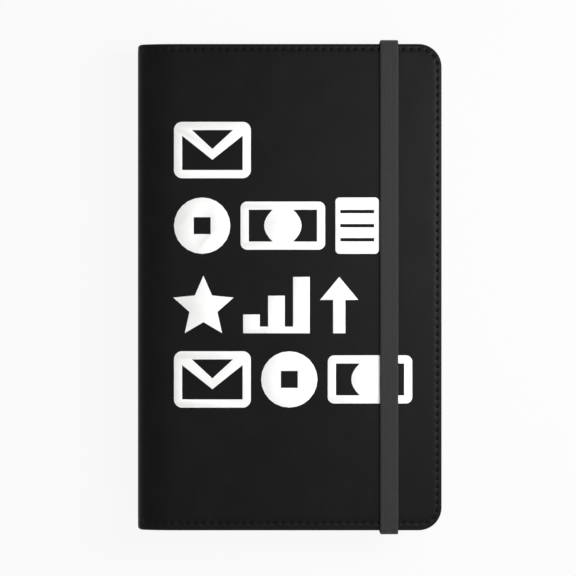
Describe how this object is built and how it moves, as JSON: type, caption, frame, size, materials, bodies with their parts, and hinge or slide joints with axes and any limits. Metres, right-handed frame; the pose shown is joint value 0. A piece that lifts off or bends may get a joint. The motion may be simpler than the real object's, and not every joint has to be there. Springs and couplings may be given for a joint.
{
  "type": "ring binder for savings envelopes",
  "caption": "Soft black cover with a stitched edge and an elastic band, holding a block of savings envelopes on a ring mechanism.",
  "frame": {"origin": "middle of the footprint, on the surface that the back cover lies on", "axes": "+X from the spine to the fore-edge, +Y up the cover, +Z out of the front cover"},
  "size_m": [0.119, 0.193, 0.0285],
  "materials": {
    "cover": "smooth black synthetic leather, satin",
    "lining": "matt black lining",
    "elastic": "ribbed woven elastic, matt",
    "steel": "bright nickel plate",
    "paper": "kraft paper, matt",
    "print": "white transfer film, matt"
  },
  "bodies": {
    "back": {"back_cover": "cover", "ring_rail": "steel", "rivet_top": "steel", "rivet_bottom": "steel", "envelopes": "paper", "elastic_band": "elastic"},
    "spine": {"spine": "cover"},
    "front": {"front_cover": "cover", "front_pocket": "lining", "card_slot_1": "lining", "card_slot_2": "lining", "card_slot_3": "lining", "print_envelope_1": "print", "print_coin_1": "print", "print_note_1": "print", "print_coin_stack": "print", "print_star": "print", "print_chart": "print", "print_arrow": "print", "print_envelope_2": "print", "print_coin_2": "print", "print_note_2": "print"},
    "rings_right": {"blade_right": "steel", "ring_right_1": "steel", "ring_right_2": "steel", "ring_right_3": "steel", "ring_right_4": "steel", "ring_right_5": "steel", "ring_right_6": "steel"},
    "rings_left": {"blade_left": "steel", "ring_left_1": "steel", "ring_left_2": "steel", "ring_left_3": "steel", "ring_left_4": "steel", "ring_left_5": "steel", "ring_left_6": "steel"},
    "lever_top": {"lever_top": "steel"},
    "lever_bottom": {"lever_bottom": "steel"}
  },
  "joints": [
    {"name": "spine_fold", "type": "hinge", "parent": "back", "child": "spine", "pos_m": [-0.0595, 0, 0], "axis": [0, -1, 0], "range_deg": [0, 90]},
    {"name": "cover_fold", "type": "hinge", "parent": "spine", "child": "front", "pos_m": [-0.0595, 0, 0.027], "axis": [0, -1, 0], "range_deg": [0, 90], "deforming": ["elastic_band"]},
    {"name": "rings_open", "type": "hinge", "parent": "back", "child": "rings_right", "pos_m": [-0.0423, 0, 0.0034], "axis": [0, 1, 0], "range_deg": [0, 9]},
    {"name": "rings_left_open", "type": "hinge", "parent": "back", "child": "rings_left", "pos_m": [-0.0527, 0, 0.0034], "axis": [0, -1, 0], "range_deg": [0, 9]},
    {"name": "lever_top_push", "type": "hinge", "parent": "back", "child": "lever_top", "pos_m": [-0.0475, 0.083, 0.00375], "axis": [-1, 0, 0], "range_deg": [0, 22.5]},
    {"name": "lever_bottom_push", "type": "hinge", "parent": "back", "child": "lever_bottom", "pos_m": [-0.0475, -0.083, 0.00375], "axis": [1, 0, 0], "range_deg": [0, 22.5]}
  ],
  "couplings": [
    {"joint": "rings_left_open", "follows": "rings_open", "ratio": 1},
    {"joint": "lever_top_push", "follows": "rings_open", "ratio": 2.5},
    {"joint": "lever_bottom_push", "follows": "rings_open", "ratio": 2.5}
  ]
}
